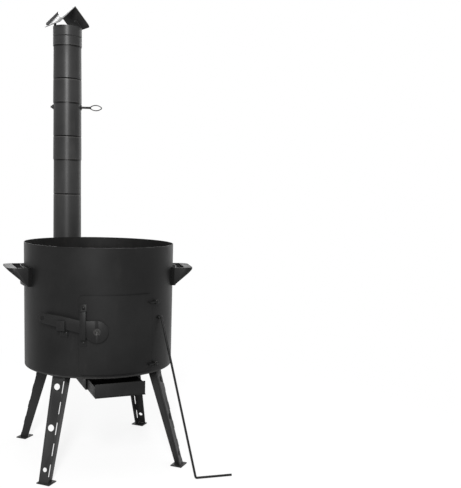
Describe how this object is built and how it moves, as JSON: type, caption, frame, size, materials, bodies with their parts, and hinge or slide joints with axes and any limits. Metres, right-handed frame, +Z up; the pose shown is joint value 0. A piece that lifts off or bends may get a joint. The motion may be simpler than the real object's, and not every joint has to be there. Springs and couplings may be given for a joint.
{
  "type": "cauldron stove",
  "caption": "Round steel outdoor stove on splayed legs, open at the top for a cauldron, with a latched fire door, ash drawer, side handles, damped flue with a gable cap, and a poker.",
  "frame": {"origin": "centre of the drum's mouth, at the rim that the cauldron hangs in; the floor is 590 mm below it", "axes": "+Z up along the drum's axis, -Y out through the fire door, +X to the right seen from the front"},
  "size_m": [0.5347, 0.6051, 1.2514],
  "materials": {
    "drum_paint": "satin black heat-resistant paint",
    "leg_paint": "satin black paint",
    "flue_paint": "satin black paint",
    "fitting_paint": "satin black paint",
    "cast_iron": "rough cast",
    "fastener": "blackened steel",
    "pad": "matt heat-proof pad"
  },
  "bodies": {
    "stove": {"body_shell": "drum_paint", "bottom_plate": "drum_paint", "grate_ledge": "drum_paint", "ash_housing": "drum_paint", "leg_front_left": "leg_paint", "leg_front_right": "leg_paint", "leg_rear_left": "leg_paint", "leg_rear_right": "leg_paint", "leg_bracket_front_left": "leg_paint", "leg_bracket_front_right": "leg_paint", "leg_bracket_rear_left": "leg_paint", "leg_bracket_rear_right": "leg_paint", "foot_plate_front_left": "leg_paint", "foot_plate_front_right": "leg_paint", "foot_plate_rear_left": "leg_paint", "foot_plate_rear_right": "leg_paint", "leg_bolts": "fastener", "leg_nuts": "fastener", "handle_left": "fitting_paint", "handle_right": "fitting_paint", "handle_pad_left": "pad", "handle_pad_right": "pad", "handle_studs": "fastener", "handle_nuts": "fastener", "drum_hinge_eyes": "fitting_paint", "hinge_pins": "fastener", "latch_keeper": "fitting_paint", "keeper_rivets": "fastener", "flue_elbow": "flue_paint"},
    "door": {"door_panel": "drum_paint", "door_hinge_eyes": "fitting_paint", "latch_stud": "fastener", "latch_washer": "fastener", "latch_nut": "fastener", "latch_guide": "fitting_paint", "guide_rivets": "fastener"},
    "latch": {"latch_lever": "fitting_paint"},
    "ash_drawer": {"ash_drawer": "drum_paint"},
    "fire_grate": {"fire_grate": "cast_iron"},
    "chimney": {"pipe_lower": "flue_paint", "pipe_middle": "flue_paint", "pipe_upper": "flue_paint"},
    "damper": {"damper_disc": "flue_paint", "damper_rod": "fastener", "damper_loop": "fastener", "damper_washers": "fastener", "damper_nut": "fastener"},
    "rain_cap": {"cap_collar": "flue_paint", "rain_cap": "flue_paint", "cap_strap_left": "flue_paint", "cap_strap_right": "flue_paint", "cap_rivets": "fastener"},
    "poker": {"poker": "fitting_paint"}
  },
  "joints": [
    {"name": "door_hinge", "type": "hinge", "parent": "stove", "child": "door", "pos_m": [0.1079, -0.17607, -0.218], "axis": [0, 0, 1], "range_deg": [0, 90]},
    {"name": "latch_pivot", "type": "hinge", "parent": "door", "child": "latch", "pos_m": [-0.05435, -0.20284, -0.207], "axis": [0.2588, 0.9659, 0], "range_deg": [0, 18]},
    {"name": "drawer_slide", "type": "slide", "parent": "stove", "child": "ash_drawer", "axis": [0, -1, 0], "range_m": [-0.086, 0.14]},
    {"name": "grate_lift", "type": "slide", "parent": "stove", "child": "fire_grate", "axis": [0, 0, 1], "range_m": [0, 0.34]},
    {"name": "chimney_lift", "type": "slide", "parent": "stove", "child": "chimney", "axis": [0, 0, 1], "range_m": [0, 0.09]},
    {"name": "damper_turn", "type": "hinge", "parent": "chimney", "child": "damper", "pos_m": [-0.0404, 0.24671, 0.38], "axis": [0.9272, -0.3746, 0], "range_deg": [0, 90]},
    {"name": "cap_lift", "type": "slide", "parent": "chimney", "child": "rain_cap", "axis": [0, 0, 1], "range_m": [0, 0.07]},
    {"name": "poker_take_away", "type": "slide", "parent": "stove", "child": "poker", "axis": [0.6225, -0.7826, 0], "range_m": [0, 0.2]}
  ]
}
